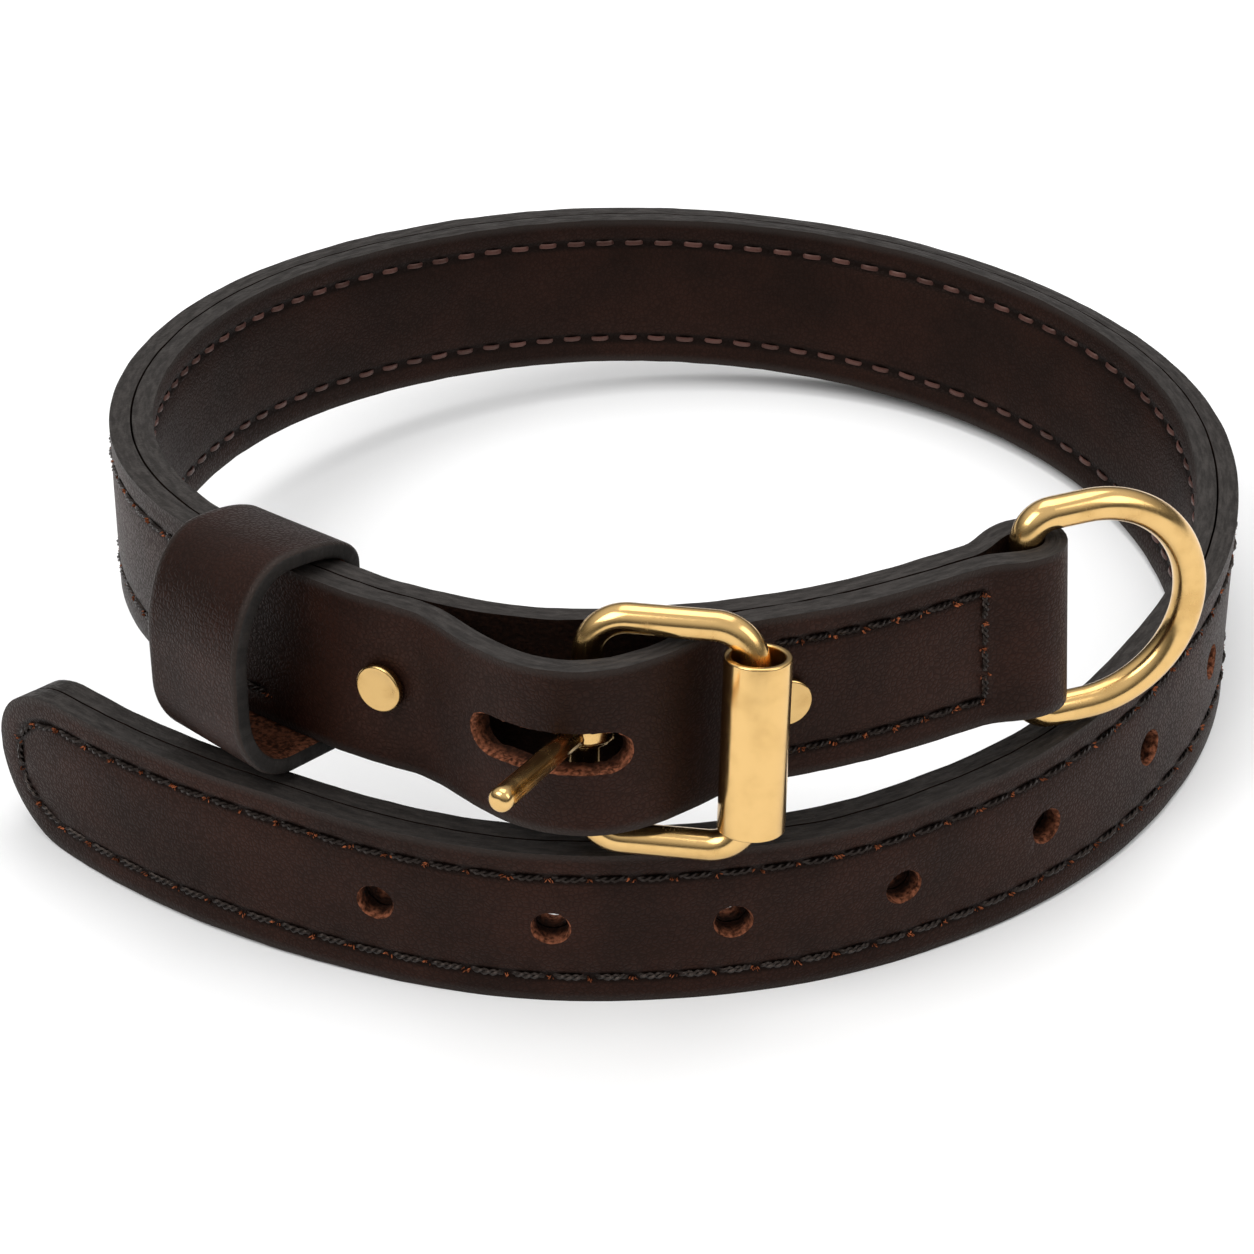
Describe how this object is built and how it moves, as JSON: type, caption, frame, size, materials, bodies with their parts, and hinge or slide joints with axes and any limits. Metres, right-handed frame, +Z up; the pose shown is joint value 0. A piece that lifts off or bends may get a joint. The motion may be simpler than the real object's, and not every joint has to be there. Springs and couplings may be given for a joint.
{
  "type": "dog collar",
  "caption": "Unbuckled leather dog collar standing on edge in a loose coil, with punched holes, a roller buckle with tongue, a leather keeper loop, rivets and a D-ring for a lead",
  "frame": {"origin": "on the floor under the middle of the collar's bounding box", "axes": "+Z up, strap standing on its lower edge; +X to the right and +Y away from the side with the buckle and the D-ring"},
  "size_m": [0.1856, 0.1964, 0.0632],
  "materials": {
    "outer_leather": "dark brown full-grain leather, fine grain, low sheen, charcoal burnished edges",
    "lining_leather": "dark brown leather lining, slightly duller than the outside",
    "keeper_leather": "dark brown leather, slightly glossier, reddish brown flesh side",
    "rivet_brass": "polished",
    "buckle_brass": "polished, softly worn",
    "d_ring_brass": "polished, softly worn"
  },
  "bodies": {
    "strap": {"strap_outer_ply": "outer_leather", "strap_lining_ply": "lining_leather", "keeper_loop": "keeper_leather", "rivet_by_keeper": "rivet_brass", "rivet_by_roller": "rivet_brass"},
    "frame": {"buckle_frame": "buckle_brass"},
    "roller": {"buckle_roller": "buckle_brass"},
    "tongue": {"buckle_tongue": "buckle_brass"},
    "ring": {"d_ring": "d_ring_brass"}
  },
  "joints": [
    {"name": "frame_swing", "type": "hinge", "parent": "strap", "child": "frame", "pos_m": [-0.00734, -0.07417, 0.04429], "axis": [0.0269, 0.1802, 0.9833], "range_deg": [-45, 0]},
    {"name": "roller_spin", "type": "hinge", "parent": "frame", "child": "roller", "pos_m": [0.01513, -0.07826, 0.04442], "axis": [0.0269, 0.1802, 0.9833], "continuous": true},
    {"name": "tongue_swing", "type": "hinge", "parent": "strap", "child": "tongue", "pos_m": [-0.00734, -0.07417, 0.04429], "axis": [0.0269, 0.1802, 0.9833], "range_deg": [-30, 30]},
    {"name": "d_ring_swing", "type": "hinge", "parent": "strap", "child": "ring", "pos_m": [0.05344, -0.0491, 0.04463], "axis": [-0.0496, 0.051, 0.9975], "range_deg": [-120, 120]}
  ]
}
